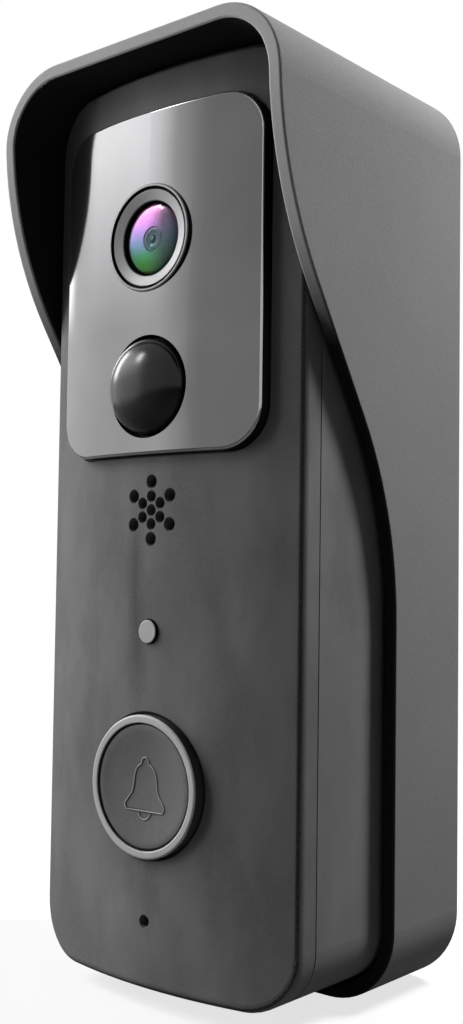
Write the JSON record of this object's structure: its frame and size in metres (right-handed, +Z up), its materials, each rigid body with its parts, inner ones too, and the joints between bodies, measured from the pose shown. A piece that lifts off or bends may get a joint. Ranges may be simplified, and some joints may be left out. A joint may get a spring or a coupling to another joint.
{
  "type": "video doorbell",
  "caption": "Battery video doorbell with camera, motion sensor, speaker and bell button, held in a swept rain hood that screws to a wall.",
  "frame": {"origin": "on the wall face, behind the middle of the hood", "axes": "+X to the right seen from the front, +Y into the wall, +Z up; the front faces -Y"},
  "size_m": [0.0578, 0.0487, 0.1464],
  "materials": {
    "hood_plastic": "fine matt texture",
    "case_plastic": "fine matt texture",
    "panel_gloss": "smoky mirror gloss",
    "lens_trim": "stepped satin trim",
    "lens_glass": "coated glass",
    "sensor_dome": "polished dark dome",
    "button_trim": "satin",
    "button_plastic": "satin with a bell outline",
    "light_pipe": "milky translucent",
    "rubber": "matt",
    "foam": "closed foam",
    "mesh_cloth": "fine black mesh",
    "inner_plastic": "matt",
    "paper_cone": "pressed cone",
    "board_laminate": "solder mask",
    "silicon": "polished",
    "tinned_steel": "tinned",
    "screw_steel": "zinc plated",
    "bracket_steel": "zinc plated",
    "brass": "plain",
    "contact_metal": "nickel plated",
    "cell_sleeve": "shrink sleeve"
  },
  "bodies": {
    "mount": {"rain_hood": "hood_plastic", "wall_bracket": "bracket_steel"},
    "doorbell": {"rear_case": "case_plastic", "front_case": "case_plastic", "front_panel": "panel_gloss", "lens_ring": "lens_trim", "lens_window": "lens_glass", "pir_dome": "sensor_dome", "button_ring": "button_trim", "battery_door": "case_plastic", "case_seal": "rubber", "case_screws": "screw_steel", "panel_tape": "foam", "lens_barrel": "inner_plastic", "lens_elements": "lens_glass", "lens_holder": "inner_plastic", "image_sensor": "silicon", "camera_board": "board_laminate", "camera_plug": "inner_plastic", "light_board": "board_laminate", "night_lights": "inner_plastic", "light_screws": "screw_steel", "pir_sensor": "tinned_steel", "pir_holder": "inner_plastic", "speaker_mesh": "mesh_cloth", "speaker_foam": "foam", "speaker_frame": "inner_plastic", "speaker_cone": "paper_cone", "speaker_magnet": "screw_steel", "speaker_pad": "foam", "status_led": "inner_plastic", "status_window": "light_pipe", "microphone": "tinned_steel", "mic_tube": "rubber", "button_seal": "rubber", "bell_switch": "inner_plastic", "main_board": "board_laminate", "board_screws": "screw_steel", "radio_can": "tinned_steel", "processor": "inner_plastic", "antenna": "brass", "battery_cells": "cell_sleeve", "battery_contacts": "contact_metal", "door_screw": "screw_steel", "lock_insert": "brass", "charging_port": "tinned_steel", "reset_switch": "inner_plastic"},
    "bell_button": {"button_cap": "button_plastic"},
    "plunger": {"bell_plunger": "inner_plastic"},
    "locking_screw": {"lock_screw": "screw_steel"},
    "flap": {"service_flap": "rubber"},
    "reset": {"reset_button": "inner_plastic"}
  },
  "joints": [
    {"name": "doorbell_release", "type": "slide", "parent": "mount", "child": "doorbell", "axis": [0, -1, 0], "range_m": [0, 0.045]},
    {"name": "button_press", "type": "slide", "parent": "doorbell", "child": "bell_button", "axis": [0, 1, 0], "range_m": [0, 0.0006], "stiffness_N_per_m": 2500},
    {"name": "plunger_press", "type": "slide", "parent": "doorbell", "child": "plunger", "axis": [0, 1, 0], "range_m": [0, 0.0006]},
    {"name": "lock_screw_out", "type": "slide", "parent": "doorbell", "child": "locking_screw", "axis": [0, 0, -1], "range_m": [0, 0.003]},
    {"name": "flap_open", "type": "hinge", "parent": "doorbell", "child": "flap", "pos_m": [0, -0.0206, -0.06975], "axis": [1, 0, 0], "range_deg": [0, 100]},
    {"name": "reset_press", "type": "slide", "parent": "doorbell", "child": "reset", "axis": [0, 0, 1], "range_m": [0, 0.0003], "stiffness_N_per_m": 2000}
  ],
  "couplings": [
    {"joint": "plunger_press", "follows": "button_press", "ratio": 1}
  ]
}
